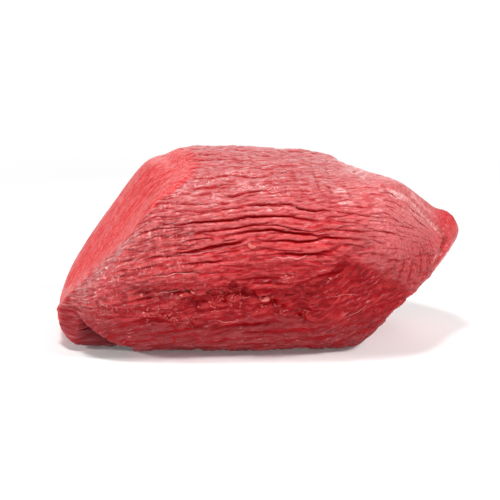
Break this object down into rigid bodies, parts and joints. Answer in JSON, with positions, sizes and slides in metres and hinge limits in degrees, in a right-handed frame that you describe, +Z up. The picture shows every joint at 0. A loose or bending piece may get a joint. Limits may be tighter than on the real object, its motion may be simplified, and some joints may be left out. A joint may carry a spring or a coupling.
{
  "type": "beef baby top",
  "caption": "Raw trimmed beef baby top: a thick wedge of lean muscle with a knife-cut end, grain splits and a pointed tip.",
  "frame": {"origin": "centre of the bounding box's footprint, on the plane the underside rests on", "axes": "+X along the grain, from the blunt left end to the pointed tip; +Y from the face seen in the picture towards the back; +Z up from the resting underside"},
  "size_m": [0.24, 0.1364, 0.113],
  "materials": {
    "lean_beef": "moist raw lean beef, fibrous, soft satin with small wet glints"
  },
  "bodies": {
    "root": {"baby_top": "lean_beef"}
  },
  "joints": []
}
